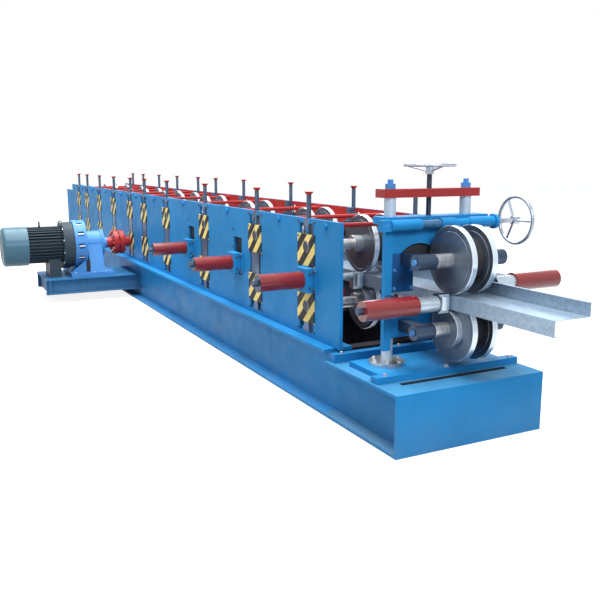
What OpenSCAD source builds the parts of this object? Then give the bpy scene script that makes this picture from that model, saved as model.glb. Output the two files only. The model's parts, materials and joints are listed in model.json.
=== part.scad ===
// Roll forming machine for Z purlins: a welded base, two slotted side plates,
// a train of driven roll pairs, a geared motor and a straightening stand.
// X runs along the strip towards the exit, Y across, Z up.
// The origin is on the floor at the centre of the base frame.

/* [Base frame] */
// Length of the base past the side plates at the entry, under the entry guide
guide_l = 603; // [560:1:760]
// Width of the base frame over its flanges
base_w = 970; // [940:5:1050]
// Height of the main beams
base_h = 400; // [360:5:420]
// Width of a beam flange
flange_w = 190; // [160:5:220]
// Thickness of a beam flange
flange_t = 20; // [14:1:26]
// Thickness of a beam web
web_t = 14; // [10:1:20]
// Length of the low section under the straightening stand
exit_l = 745; // [720:5:760]
// Height of the low section
exit_h = 333; // [320:1:345]
// Thickness of the plate over the low section
deck_t = 16; // [10:1:22]
// Width of the slot across that plate
deck_slot_w = 36; // [8:1:44]
// Distance of that slot from the exit end
deck_slot_d = 158; // [150:2:180]
// Number of cross members between the main beams
cross_n = 10; // [6:1:14]
// Width of a cross member
cross_w = 80; // [60:5:120]

/* [Side plates] */
// Thickness of a side plate
plate_t = 20; // [16:1:26]
// Distance of a side plate's outer face from the centre line
plate_y = 412; // [405:1:420]
// Height of the top edge of the side plates
plate_top = 1133; // [1120:1:1150]
// How far the side plates reach over the low section
plate_over = 53; // [20:1:60]
// Length of a side plate past its last roll station
plate_tail = 480; // [440:10:560]
// Length of the lower step at the entry end
step_l = 450; // [350:10:500]
// Depth of that step below the top edge
step_drop = 90; // [60:5:130]

/* [Roll stations] */
// Distance of the last roll station from the exit end of the side plates
station_in = 415; // [400:1:430]
// Short spacing of the stations
pitch_short = 575; // [540:5:600]
// Middle spacing of the stations
pitch_mid = 780; // [740:5:800]
// Long spacing of the stations, where a side roll stands between
pitch_long = 1055; // [1000:5:1080]
// Width of a bearing slot in a side plate
slot_w = 180; // [170:2:196]
// Height of the bottom of a bearing slot above the base
slot_rise = 26; // [20:1:34]
// Depth of the top of a bearing slot below the top edge of the plate
slot_cap = 30; // [24:1:40]
// Diameter of a roll shaft
shaft_d = 70; // [60:1:80]
// Radial running clearance of a shaft in its bearing block
bearing_gap = 0.05; // [0.03:0.01:0.08]
// Height of the lower roll shafts
lower_z = 588; // [585:1:592]
// Height of the strip's lower face
strip_z = 772; // [771:1:774]
// Height of a bearing block above and below its shaft
block_half = 75; // [70:1:80]
// Depth of a bearing block across the machine
block_d = 62; // [50:1:70]
// Side clearance of a bearing block in its slot
block_gap = 24; // [20:1:30]
// Thickness of a slot cover
cover_t = 5; // [4:0.5:8]
// Width of a slot cover
cover_w = 220; // [206:2:240]
// Height of a slot cover
cover_h = 195; // [180:5:200]
// Drop of the upper slot covers below the upper shafts
cover_drop = 20; // [10:1:24]
// Diameter of the hole in a slot cover
cover_hole_d = 78; // [74:1:90]

/* [Rolls and strip] */
// Offset of the strip's centre line from the centre line of the machine
strip_y = 80; // [70:1:90]
// Width of the strip's web
web_w = 220; // [210:2:230]
// Depth of the near flange, which is bent down
near_flange = 78; // [60:1:84]
// Depth of the far flange, which is bent up
far_flange = 70; // [60:1:84]
// Width of the lips
lip_w = 18; // [12:1:22]
// Thickness of the strip
strip_t = 2.5; // [2:0.1:3]
// Clearance between the strip and the rolls
roll_gap = 0.3; // [0.2:0.05:0.5]
// Width of a roll's rim disc
rim_w = 34; // [26:1:42]
// Diameter of the drum between the rim discs
drum_d = 236; // [200:2:260]
// Clearance of a roll's collar from the strip's lip
collar_gap = 6; // [5:1:10]
// Diameter of the spacer sleeves beside the rolls
spacer_d = 112; // [90:2:124]
// Length of the profile past the exit end of the base
profile_out = 550; // [400:10:700]
// Length of flat strip before the first roll station
strip_in = 900; // [820:10:940]

/* [Adjusting screws] */
// Diameter of an adjusting screw
screw_d = 30; // [26:1:34]
// Length of an adjusting screw above the side plate
screw_l = 159; // [140:1:180]
// Diameter of an adjusting screw's head
screw_head_d = 58; // [48:1:66]
// Height of an adjusting screw's head
screw_head_t = 18; // [10:1:22]
// Width of the nut block that an adjusting screw passes through
nut_w = 58; // [50:1:64]
// Diameter of a red tie bar between the side plates
tie_d = 28; // [26:1:40]
// Depth of the tie bars below the top edge of the plates
tie_drop = 30; // [24:1:40]

/* [Side rolls] */
// Outer diameter of a red side roll tube
tube_d = 106; // [96:1:112]
// Length of a red side roll tube
tube_l = 290; // [260:5:330]
// Width of the foot of a tube's bracket
bracket_w = 204; // [190:2:220]
// Width of the block on that foot
bracket_block_w = 141; // [130:1:150]
// Height of a bracket
bracket_h = 148; // [120:2:152]
// Thickness of a bracket's foot
bracket_foot_t = 14; // [10:1:18]
// Thickness of the block on that foot
bracket_t = 46; // [36:1:56]
// Width of the window in the side plate behind a bracket
window_w = 150; // [130:2:170]
// How far that window reaches above the push rod
window_up = 185; // [170:1:190]
// How far it reaches below the push rod
window_down = 99; // [90:1:104]
// Diameter of the push rod inside a tube
push_d = 44; // [36:1:50]
// Distance of a side roll from the station on its exit side
side_roll_back = 322; // [312:2:330]
// Diameter of a vertical side roll
side_roll_d = 66; // [56:1:76]
// Height of a vertical side roll
side_roll_h = 72; // [60:2:76]
// Thickness of a fork's arm above and below a side roll
fork_t = 14; // [10:1:18]
// Width of a fork
fork_w = 48; // [40:1:56]

/* [Drive] */
// Length of the lower shaft's stub outside the bearing
stub_l = 25; // [20:1:30]
// Length of a coupling hub
hub_l = 70; // [60:1:80]
// Diameter of a coupling hub
hub_d = 114; // [100:1:130]
// Diameter of the coupling's discs
coupling_d = 262; // [240:2:280]
// Thickness of a coupling disc
disc_t = 50; // [40:1:56]
// Gap between the coupling's discs
pin_gap = 12; // [8:1:16]
// Diameter of the coupling's pins
pin_d = 30; // [24:1:36]
// Length of the reducer's output shaft
out_shaft_l = 45; // [36:1:54]
// Diameter of the reducer's output barrel
barrel_d = 270; // [250:5:300]
// Length of the output barrel
barrel_l = 170; // [150:2:190]
// Thickness of the flange at the end of the barrel
out_flange_t = 30; // [20:1:36]
// Diameter of the reducer's gear ring
ring_d = 515; // [490:5:530]
// Thickness of the gear ring
ring_t = 125; // [110:1:140]
// Number of bolts round the gear ring
ring_bolts = 12; // [8:1:16]
// Length of the adapter between the reducer and the motor
adapter_l = 100; // [80:2:120]
// Diameter of the motor over its fins
motor_d = 400; // [380:5:420]
// Length of the motor's body
motor_l = 359; // [320:1:380]
// Height of a cooling fin
fin_h = 30; // [20:1:36]
// Thickness of a cooling fin
fin_t = 8; // [6:1:10]
// Diameter of the motor's fan cowl
cowl_d = 408; // [390:2:430]
// Length of the fan cowl
cowl_l = 252; // [230:2:280]
// Height of the motor platform's top face
platform_z = 258; // [250:1:262]
// Depth of the platform's beams
platform_h = 160; // [140:5:180]
// Width of the platform along the machine
platform_w = 700; // [660:10:740]
// Distance of the platform's outer end from the centre line
platform_y = 1392; // [1380:2:1420]
// Thickness of the platform's plates
platform_t = 12; // [10:1:16]

/* [Straightening stand] */
// Distance of the stand's columns from the exit end
stand_d = 440; // [430:5:450]
// Distance of a column from the centre line
column_y = 255; // [245:1:262]
// Diameter of a column
column_d = 64; // [56:1:70]
// Height of the red cross beam's top face
beam_top = 1328; // [1310:2:1370]
// Thickness of the red cross beam
cross_t = 46; // [34:1:50]
// Distance of the stand's rolls from the exit end
stand_roll_d = 200; // [196:1:204]
// Diameter of the stand's roll shafts
stand_shaft_d = 60; // [50:1:66]
// Diameter of the stand's bearing barrels
bearing_d = 84; // [76:1:92]
// Length of a bearing barrel
bearing_l = 118; // [110:1:140]
// Gap between the sliding plate under the stand and the bar behind it
carriage_gap = 85; // [75:1:110]
// Thickness of that plate
carriage_t = 30; // [24:1:36]
// Diameter of the foot flange of a column
foot_d = 200; // [180:2:210]
// Height of the top face of the stand's head
head_top = 1180; // [1170:1:1190]
// Thickness of the head's top plate
head_t = 40; // [30:1:50]
// Width of a leg of the head
leg_w = 46; // [40:1:50]
// Thickness of a leg of the head
leg_t = 30; // [26:1:34]
// Diameter of the handwheels
wheel_d = 288; // [260:4:310]
// Diameter of a handwheel's rim
wheel_rim_d = 20; // [16:1:24]
// Height of the top handwheel's upper edge
wheel_z = 1464; // [1440:2:1500]
// Diameter of the lifting screw
lift_d = 28; // [22:1:34]
// Height of the side adjuster's axis
adjuster_z = 1140; // [1136:1:1144]

/* [Hidden] */
// Seat clearance between pieces that only lie against each other
seat = 0.3;
plate_gap = exit_l - plate_over;
station_first = plate_gap + station_in;
pitches = [pitch_mid, pitch_long, pitch_long, pitch_mid, pitch_short,
           pitch_mid, pitch_mid, pitch_mid, pitch_short];
function run(n) = n == 0 ? 0 : run(n - 1) + pitches[n - 1];
stations = [for (n = [0:len(pitches)]) station_first + run(n)];
last_station = stations[len(stations) - 1];
plate_entry = last_station + plate_tail;
base_l = plate_entry + step_l + guide_l;
function x_at(d) = base_l / 2 - d;
plate_in = plate_y - plate_t;
beam_y = base_w / 2 - flange_w / 2;
web_in = beam_y - web_t / 2;
slot_bottom = base_h + slot_rise;
slot_top = plate_top - slot_cap;
block_w = slot_w - 2 * block_gap;
block_in = plate_y - block_d;
tie_z = plate_top - tie_drop;
tie_spots = [for (n = [0:len(stations) - 1])
    n == 0 ? (stations[0] + plate_gap) / 2 - 37 : (stations[n] + stations[n - 1]) / 2];
shaft_end = plate_y + cover_t;

// Rolls
rim_r = (strip_z - roll_gap) - lower_z;
upper_z = strip_z + strip_t + roll_gap + rim_r;
roll_near = strip_y - web_w / 2;
roll_far = strip_y + web_w / 2;
bend_gap = strip_t + lip_w + 3 * strip_t / 5;
low_collar_d = 2 * (strip_z - near_flange - lower_z - collar_gap);
high_collar_d = 2 * (upper_z - strip_z - far_flange - collar_gap);

// Angles of the flanges and of the lips at the stations, from the exit back
bends = [90, 86, 80, 72, 62, 50, 38, 25, 12, 2];
lip_bends = [90, 90, 90, 90, 90, 80, 60, 35, 15, 2];
function bend_at(d) =
    lookup(d, [for (n = [0:len(stations) - 1]) [stations[n], bends[n]]]);

// Side rolls
near_push_z = strip_z - near_flange / 2;
far_push_z = strip_z + strip_t + far_flange / 2;
side_roll_spots = [stations[0] - 47, stations[1] + side_roll_back,
                   stations[2] + side_roll_back];
cover_gap_z = (lower_z + upper_z - cover_drop) / 2;
function push_z(d, side) =
    d < stations[0] ? cover_gap_z : side > 0 ? far_push_z : near_push_z;
function roll_out(d, flange) = flange * cos(bend_at(d));

// Drive, as distances from the centre line
drive_n = 5;
drive_x = x_at(stations[drive_n]);
hub_at = shaft_end + stub_l;
disc_at = hub_at + hub_l;
pins_at = disc_at + disc_t;
second_disc_at = pins_at + pin_gap;
second_hub_at = second_disc_at + disc_t;
out_shaft_at = second_hub_at + hub_l;
out_flange_at = out_shaft_at + out_shaft_l;
barrel_at = out_flange_at + out_flange_t;
ring_at = barrel_at + barrel_l;
adapter_at = ring_at + ring_t;
motor_at = adapter_at + adapter_l;
cowl_at = motor_at + motor_l;
motor_rim_t = 14;
adapter_d = ring_d - 34;

// Straightening stand
carriage_d = 270;
bar_lap = 5;
bar_w = 58;
bar_in = 15;
rear_bar_d = exit_l - 30;
rear_bar_w = 50;
carriage_l = rear_bar_d - rear_bar_w - carriage_gap - carriage_d;
stand_x = x_at(stand_d);
stud_d = 31;
leg_x = stand_x + column_d / 2 + 0.5;
front_x = leg_x + leg_t;
arch_t = 16;
roll_x = x_at(stand_roll_d);
stand_narrow = 30;
near_bearing = -254;
far_bearing = strip_y + 132;
wheel_dish = 32;
hub_low = 18;
adjuster_d = 60;
adjuster_x = front_x + adjuster_d / 2 + seat;
side_wheel_y = 552;
leg_y = column_y + 19;
side_dish = 10;

// A box given by its lowest corner and its size
module box(corner, size) translate(corner) cube(size);

// A cylinder along Y from y0 to y1
module rod_y(x, z, y0, y1, d) {
    translate([x, y0, z]) rotate([-90, 0, 0]) cylinder(h = y1 - y0, d = d, $fn = 64);
}

// A cylinder along Z from z0 to z1
module rod_z(x, y, z0, z1, d) {
    translate([x, y, z0]) cylinder(h = z1 - z0, d = d, $fn = 64);
}

// A hexagonal nut or bolt head along Y from y0 to y1
module hex_y(x, z, y0, y1, d) {
    translate([x, y0, z]) rotate([-90, 0, 0]) cylinder(h = y1 - y0, d = d, $fn = 6);
}

module at_both_sides() {
    children();
    mirror([0, 1, 0]) children();
}

// An I-beam along X with its centre at y
module i_beam(x0, x1, y, h) {
    box([x0, y - flange_w / 2, 0], [x1 - x0, flange_w, flange_t]);
    box([x0, y - flange_w / 2, h - flange_t], [x1 - x0, flange_w, flange_t]);
    box([x0, y - web_t / 2, 0], [x1 - x0, web_t, h]);
}

module base_beams() {
    color("steelblue") for (side = [-1, 1])
        i_beam(-base_l / 2, x_at(exit_l), side * beam_y, base_h);
}

// Channels between the two main beams, and flat ties at floor level
module cross_members() {
    gap = 1;
    wall = 12;
    depth = base_h - 2 * flange_t - 2 * gap;
    first = -base_l / 2 + cross_w;
    step = (x_at(exit_l) - cross_w - first) / (cross_n - 1);
    tie_w = beam_y - flange_w / 2;
    color("steelblue") {
        for (n = [0:cross_n - 1]) difference() {
            box([first + n * step - cross_w / 2, -web_in, flange_t + gap],
                [cross_w, 2 * web_in, depth]);
            box([first + n * step - cross_w / 2 + wall, -web_in - 1, flange_t + gap + wall],
                [cross_w, 2 * web_in + 2, depth - 2 * wall]);
        }
        for (x = [-base_l / 3, 0, base_l / 3])
            box([x - cross_w, -tie_w, 0], [2 * cross_w, 2 * tie_w, flange_t]);
    }
}

// Low section at the exit end: webs, bottom flanges, top plate and end plate
module exit_section() {
    x0 = x_at(exit_l);
    x1 = base_l / 2;
    slot_y = 355;
    color("steelblue") difference() {
        union() {
            box([x0, -base_w / 2, exit_h - deck_t], [exit_l, base_w, deck_t]);
            box([x1 - deck_t, -base_w / 2, 0], [deck_t, base_w, exit_h]);
            at_both_sides() {
                box([x0, beam_y - flange_w / 2, 0], [exit_l, flange_w, flange_t]);
                box([x0, beam_y - web_t / 2, 0], [exit_l, web_t, exit_h]);
            }
        }
        box([x_at(deck_slot_d) - deck_slot_w / 2, -slot_y, exit_h - deck_t - 1],
            [deck_slot_w, 2 * slot_y, deck_t + 2]);
    }
}

// Slotted side plate with its lower step at the entry end
module side_plate(side) {
    y0 = side > 0 ? plate_in : -plate_y;
    entry = x_at(plate_entry);
    exit = x_at(plate_gap);
    color("steelblue") difference() {
        union() {
            box([entry, y0, base_h], [exit - entry, plate_t, plate_top - base_h]);
            box([entry - step_l, y0, base_h],
                [step_l + 1, plate_t, plate_top - step_drop - base_h]);
        }
        for (d = stations) {
            box([x_at(d) - slot_w / 2, y0 - 1, slot_bottom],
                [slot_w, plate_t + 2, slot_top - slot_bottom]);
            box([x_at(d) - nut_w / 2, y0 - 1, slot_top - 1],
                [nut_w, plate_t + 2, slot_cap + 2]);
        }
        for (d = tie_spots) rod_y(x_at(d), tie_z, y0 - 1, y0 + plate_t + 1, tie_d - 3);
        for (n = [1, 2])
            box([x_at(side_roll_spots[n]) - window_w / 2, y0 - 1,
                 push_z(side_roll_spots[n], side) - window_down],
                [window_w, plate_t + 2, window_up + window_down]);
    }
}

// Column of bearing blocks in each slot, with bores for both shafts
module bearing_blocks() {
    foot_w = 66;
    neck_w = 34;
    nut_h = 20;
    color("lightsteelblue") at_both_sides() for (d = stations) difference() {
        union() {
            box([x_at(d) - block_w / 2, block_in, lower_z - block_half],
                [block_w, block_d, upper_z - lower_z + 2 * block_half]);
            box([x_at(d) - foot_w / 2, block_in, slot_bottom],
                [foot_w, block_d, lower_z - slot_bottom]);
            box([x_at(d) - neck_w / 2, block_in + 8, upper_z],
                [neck_w, block_d - 16, slot_top - upper_z]);
            box([x_at(d) - nut_w / 2, block_in, slot_top - nut_h],
                [nut_w, block_d, slot_cap + nut_h]);
        }
        for (z = [lower_z, upper_z])
            rod_y(x_at(d), z, block_in - 1, plate_y + 1, shaft_d + 2 * bearing_gap);
        if (d == stations[0])
            rod_y(x_at(side_roll_spots[0]), cover_gap_z, block_in - 1, plate_y + 1,
                  push_d + 4);
    }
}

// Covers over the bearing blocks, one above and one below the strip
module slot_covers() {
    color("khaki") at_both_sides() for (d = stations, up = [0, 1]) {
        shaft_z = up == 0 ? lower_z : upper_z;
        difference() {
            box([x_at(d) - cover_w / 2, plate_y, shaft_z - up * cover_drop - cover_h / 2],
                [cover_w, cover_t, cover_h]);
            rod_y(x_at(d), shaft_z, plate_y - 1, shaft_end + 1, cover_hole_d);
        }
    }
}

// Screws that set the height of the upper bearing blocks
module adjusting_screws() {
    y = plate_y - screw_d / 2 - 2;
    top = plate_top + screw_l;
    color("slategray") at_both_sides() for (d = stations) {
        rod_z(x_at(d), y, plate_top, top - screw_head_t, screw_d);
        translate([x_at(d), y, top - screw_head_t])
            cylinder(h = screw_head_t, d1 = screw_d, d2 = screw_head_d, $fn = 64);
    }
}

// Red bars that hold the two side plates apart, with their bolt heads
module tie_bars() {
    head_t = 14;
    head_d = 44;
    color("firebrick") for (d = tie_spots) {
        rod_y(x_at(d), tie_z, -plate_in, plate_in, tie_d);
        rod_y(x_at(d), tie_z, -plate_y - head_t, plate_y + head_t, tie_d - 4);
        at_both_sides() hex_y(x_at(d), tie_z, plate_y, plate_y + head_t, head_d);
    }
}

// One roll shaft with two rim discs and the drum between them
module roll_pair(x, z, near, far, end) {
    rod_y(x, z, -end, end, shaft_d);
    rod_y(x, z, near, far, drum_d);
    rod_y(x, z, near, near + rim_w, 2 * rim_r);
    rod_y(x, z, far - rim_w, far, 2 * rim_r);
    rod_y(x, z, near - 60, far + 60, spacer_d);
}

module lower_roll(n) {
    near = roll_near + bend_gap;
    color("silver") union() {
        roll_pair(x_at(stations[n]), lower_z, near, roll_far, shaft_end);
        rod_y(x_at(stations[n]), lower_z, near - rim_w, near, low_collar_d);
    }
}

module upper_roll(n) {
    far = roll_far - bend_gap;
    color("silver") union() {
        roll_pair(x_at(stations[n]), upper_z, roll_near, far, shaft_end);
        rod_y(x_at(stations[n]), upper_z, far, far + rim_w, high_collar_d);
    }
}

// Middle line of the strip's section, as [y, z], with the flanges and lips turned
function strip_line(a, b) = let (
    mid = strip_z + strip_t / 2,
    n0 = [roll_near + strip_t / 2, mid],
    f0 = [roll_far - strip_t / 2, mid],
    n1 = n0 - (near_flange - strip_t) * [cos(a), sin(a)],
    f1 = f0 + (far_flange - strip_t) * [cos(a), sin(a)])
    [n1 - (lip_w - strip_t) * [cos(a + b), sin(a + b)], n1, n0,
     f0, f1, f1 + (lip_w - strip_t) * [cos(a + b), sin(a + b)]];

function unit(v) = v / norm(v);
function left(v) = [-v[1], v[0]];

// One face of the strip, half its thickness to one side of the middle line
function strip_face(p, side) = [for (i = [0:len(p) - 1]) let (
    back = unit(p[max(i, 1)] - p[max(i, 1) - 1]),
    ahead = unit(p[min(i + 1, len(p) - 1)] - p[min(i + 1, len(p) - 1) - 1]),
    turn = (left(back) + left(ahead)) / (1 + back * ahead))
    p[i] + side * strip_t / 2 * turn];

function strip_section(a, b) = let (p = strip_line(a, b), low = strip_face(p, -1))
    concat(strip_face(p, 1), [for (i = [len(low) - 1:-1:0]) low[i]]);

// Strip between the entry and the last station, bent further at each station
module forming_strip() {
    last = len(stations) - 1;
    rows = concat([[x_at(last_station + strip_in), bends[last], lip_bends[last]]],
                  [for (n = [last:-1:0]) [x_at(stations[n]), bends[n], lip_bends[n]]]);
    m = 12;
    points = [for (r = rows, q = strip_section(r[1], r[2])) [r[0], q[0], q[1]]];
    sides = [for (r = [0:len(rows) - 2], i = [0:m - 1], half = [0, 1]) let (
        a = r * m + i,
        b = r * m + (i + 1) % m)
        half == 0 ? [a, b, b + m] : [a, b + m, a + m]];
    ends = [[for (i = [m - 1:-1:0]) i], [for (i = [0:m - 1]) len(points) - m + i]];
    color("lightgray") polyhedron(points, concat(sides, ends));
}

// Finished Z profile from the last station to past the exit end
module formed_profile() {
    x0 = x_at(stations[0]);
    color("lightgray") translate([x0, 0, 0]) rotate([90, 0, 90])
        linear_extrude(height = base_l / 2 + profile_out - x0)
        polygon(strip_section(bends[0], lip_bends[0]));
}

// Foot and block that hold a side roll tube on the outside of a side plate
module side_bracket(x, z) {
    color("steelblue") difference() {
        union() {
            box([x - bracket_w / 2, plate_y, z - bracket_h / 2],
                [bracket_w, bracket_foot_t, bracket_h]);
            box([x - bracket_block_w / 2, plate_y, z - bracket_h / 2],
                [bracket_block_w, bracket_foot_t + bracket_t, bracket_h]);
        }
        rod_y(x, z, plate_y - 1, plate_y + bracket_foot_t + bracket_t + 1, push_d);
    }
}

module side_brackets() {
    for (d = side_roll_spots) {
        side_bracket(x_at(d), push_z(d, 1));
        mirror([0, 1, 0]) side_bracket(x_at(d), push_z(d, -1));
    }
}

// Red tube with its adjusting screw, the push rod and the fork of a side roll
module side_tube(x, z, roll_z, roll_y) {
    tube_at = plate_y + bracket_foot_t + bracket_t;
    screw_out = 34;
    rod_y(x, z, tube_at, tube_at + tube_l, tube_d);
    hex_y(x, z, tube_at + tube_l, tube_at + tube_l + screw_out, push_d - 4);
    rod_y(x, z, roll_y + side_roll_d / 2 + fork_t, tube_at, push_d);
    side_fork(x, roll_z, roll_y);
}

// Fork that holds a vertical side roll above and below
module side_fork(x, z, roll_y) {
    h = side_roll_h + 2 * fork_t + 2 * seat;
    back = roll_y + side_roll_d / 2 + 5;
    box([x - fork_w / 2, back, z - h / 2], [fork_w, fork_t, h]);
    for (side = [-1, 1])
        box([x - fork_w / 2, roll_y - side_roll_d / 4, z + side * (h - fork_t) / 2 - fork_t / 2],
            [fork_w, back - roll_y + side_roll_d / 4 + 1, fork_t]);
}

// Distance of a side roll's axis from the centre line, on the far and near side
function far_roll_y(d) = roll_far + roll_out(d, far_flange) + seat + side_roll_d / 2;
function near_roll_y(d) = -roll_near + roll_out(d, near_flange) + seat + side_roll_d / 2;

module side_tubes() {
    color("firebrick") for (d = side_roll_spots) {
        side_tube(x_at(d), push_z(d, 1), far_push_z, far_roll_y(d));
        mirror([0, 1, 0]) side_tube(x_at(d), push_z(d, -1), near_push_z, near_roll_y(d));
    }
}

// Vertical rolls that press on the strip's flanges from the side
module side_roll(x, y, z) {
    rod_z(x, y, z - side_roll_h / 2, z + side_roll_h / 2, side_roll_d);
}

module side_rolls() {
    color("silver") for (d = side_roll_spots) {
        side_roll(x_at(d), far_roll_y(d), far_push_z);
        side_roll(x_at(d), -near_roll_y(d), near_push_z);
    }
}

// Platform of two I-beams, an end plate and a top plate beside the base
module motor_platform() {
    shift = 40;
    rail_w = 100;
    end_in = 30;
    x0 = drive_x - platform_w / 2 - shift;
    z0 = platform_z - platform_h;
    len = platform_y - beam_y - web_t / 2;
    color("steelblue") union() {
        box([x0, -platform_y, platform_z - platform_t], [platform_w, len, platform_t]);
        for (x = [x0, x0 + platform_w - rail_w]) {
            box([x, -platform_y, z0], [rail_w, len, platform_t]);
            box([x + (rail_w - platform_t) / 2, -platform_y, z0], [platform_t, len, platform_h]);
        }
        box([x0, -platform_y + end_in, z0], [platform_w, platform_t, platform_h]);
    }
}

// Cycloidal reducer on its cast pedestal
module reducer() {
    foot_t = 46;
    foot_w = 540;
    rib_w = 120;
    rib_h = 200;
    lip = 24;
    pocket = [52, 60, 30];
    color("cornflowerblue") difference() {
        union() {
            rod_y(drive_x, lower_z, -adapter_at, -ring_at, ring_d);
            rod_y(drive_x, lower_z, -ring_at - 1, -barrel_at, barrel_d);
            rod_y(drive_x, lower_z, -barrel_at, -out_flange_at, barrel_d + lip);
            rod_y(drive_x, lower_z, -out_flange_at - 1, -out_shaft_at, hub_d + 6);
            box([drive_x - foot_w / 2, -adapter_at - rib_w / 2, platform_z],
                [foot_w, adapter_at - out_flange_at + rib_w, foot_t]);
            translate([drive_x, -barrel_at, platform_z]) rotate([90, 0, 0])
                linear_extrude(height = barrel_l - 20)
                polygon([[-foot_w / 2 + 40, 0], [foot_w / 2 - 40, 0],
                         [barrel_d / 2, lower_z - platform_z],
                         [-barrel_d / 2, lower_z - platform_z]]);
            translate([drive_x - rib_w / 2, 0, platform_z]) rotate([90, 0, 90])
                linear_extrude(height = rib_w)
                polygon([[-adapter_at - 40, foot_t], [-barrel_at - 60, foot_t],
                         [-barrel_at - 60, rib_h], [-ring_at, rib_h]]);
        }
        for (n = [0:ring_bolts - 1]) translate([drive_x, -(ring_at + adapter_at) / 2, lower_z])
            rotate([0, n * 360 / ring_bolts, 0])
            box([ring_d / 2 - pocket[2], -pocket[1] / 2, -pocket[0] / 2],
                [pocket[2] + 1, pocket[1], pocket[0]]);
    }
}

// Finned motor with its flange, adapter, foot and lifting eye
module motor() {
    fin_n = 36;
    core_d = motor_d - 2 * fin_h;
    foot = [300, 120, lower_z - platform_z - core_d / 2 + 32];
    eye_y = -(motor_at + cowl_at) / 2 - 45;
    eye_d = 44;
    eye_t = 11;
    top = lower_z + motor_d / 2;
    color("dimgray") union() {
        rod_y(drive_x, lower_z, -motor_at, -adapter_at, adapter_d);
        rod_y(drive_x, lower_z, -motor_at - motor_rim_t, -motor_at, ring_d);
        rod_y(drive_x, lower_z, -cowl_at, -motor_at - motor_rim_t + 2, core_d);
        for (n = [0:fin_n - 1]) if (abs(n - fin_n / 4) > 2 && n != 3 * fin_n / 4)
            translate([drive_x, -cowl_at, lower_z]) rotate([0, n * 360 / fin_n, 0])
            box([core_d / 2 - 4, 0, -fin_t / 2], [fin_h + 4, motor_l - motor_rim_t + 2, fin_t]);
        box([drive_x - foot[0] / 2, -motor_at - motor_rim_t - 30 - foot[1], platform_z], foot);
        rod_z(drive_x, eye_y, top - fin_h - 10, top + 9, 22);
        translate([drive_x, eye_y, top + 9 + eye_d / 2]) rotate([0, 90, 90])
            rotate_extrude() translate([eye_d / 2, 0]) circle(d = eye_t, $fn = 24);
    }
}

// Sheet metal cowl over the motor's fan, with a ringed grille
module fan_cowl() {
    round = 36;
    groove = 8;
    color("cadetblue") translate([drive_x, -cowl_at, lower_z]) rotate([90, 0, 0])
    difference() {
        rotate_extrude($fn = 96) union() {
            square([cowl_d / 2, cowl_l - round]);
            square([cowl_d / 2 - round, cowl_l]);
            translate([cowl_d / 2 - round, cowl_l - round]) circle(r = round, $fn = 48);
        }
        for (r = [50:34:150]) translate([0, 0, cowl_l - groove]) difference() {
            cylinder(h = 2 * groove, r = r + groove, $fn = 64);
            translate([0, 0, -1]) cylinder(h = 2 * groove + 2, r = r - groove, $fn = 64);
        }
    }
}

// Pin coupling between the reducer and the driven lower shaft
module drive_coupling() {
    pin_n = 8;
    pin_r = coupling_d / 2 - pin_d / 2 - 9;
    head_t = 16;
    color("firebrick") union() {
        rod_y(drive_x, lower_z, -out_shaft_at + seat, -second_disc_at - 1, hub_d);
        rod_y(drive_x, lower_z, -second_hub_at, -second_disc_at, coupling_d);
        rod_y(drive_x, lower_z, -second_disc_at - 1, -pins_at + 1, 2 * pin_r - pin_d - 12);
        rod_y(drive_x, lower_z, -pins_at, -disc_at, coupling_d);
        rod_y(drive_x, lower_z, -disc_at - 1, -hub_at + 2, hub_d);
        rod_y(drive_x, lower_z, -hub_at, -shaft_end, shaft_d);
        for (n = [0:pin_n - 1]) translate([drive_x, 0, lower_z])
            rotate([0, n * 360 / pin_n, 0]) translate([-drive_x, 0, -lower_z]) {
            rod_y(drive_x + pin_r, lower_z, -second_hub_at - head_t, -disc_at + head_t, pin_d);
        }
    }
}

// Sloping lead-in table with its guide rolls
module entry_guide() {
    sheet_t = 20;
    sheet_y = 300;
    guide_d = 60;
    post_d = 22;
    post_l = 270;
    x1 = x_at(plate_entry + step_l);
    x0 = x1 - guide_l + 40;
    low = strip_z - seat - guide_d;
    color("dodgerblue") union() {
        for (side = [-1, 1]) {
            translate([0, side * sheet_y + sheet_t / 2, 0]) rotate([90, 0, 0])
                linear_extrude(height = sheet_t)
                polygon([[x0, base_h], [x1 + step_l / 2, base_h], [x1 + step_l / 2, low + 28],
                         [x1, low + 28], [x0 + guide_d, low - 50], [x0, low - 110]]);
            box([x1 - 1.5 * guide_d, side * (sheet_y - sheet_t / 2) - sheet_t / 2, low - 70],
                [guide_d, sheet_t, 3.6 * guide_d]);
            rod_z(x1 - 2.2 * guide_d, side * sheet_y, low - 30, low + post_l - 30, post_d);
            rod_z(x1 + guide_d, side * sheet_y, low, low + post_l, post_d);
        }
        rod_y(x1 - guide_d, strip_z - seat - guide_d / 2, -sheet_y, sheet_y, guide_d);
        rod_y(x1 - guide_d, strip_z + strip_t + seat + guide_d / 2, -sheet_y, sheet_y, guide_d);
        box([x0 + 80, -sheet_y, low - 150], [24, 2 * sheet_y, guide_d]);
    }
}

// Sliding plate under the straightening stand
module stand_carriage() {
    color("steelblue") box([x_at(carriage_d) - carriage_l, -plate_y, exit_h],
                           [carriage_l, 2 * plate_y, carriage_t]);
}

// Flat bars before and behind the sliding plate
module guide_bars() {
    color("steelblue") {
        box([x_at(carriage_d - bar_lap), bar_in - base_w / 2, exit_h],
            [bar_w, base_w - bar_in + bar_lap, carriage_t + 4]);
        box([x_at(rear_bar_d), bar_in - base_w / 2 + 10, exit_h],
            [rear_bar_w, base_w - 2 * bar_in - 20, carriage_t + 20]);
    }
}

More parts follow.
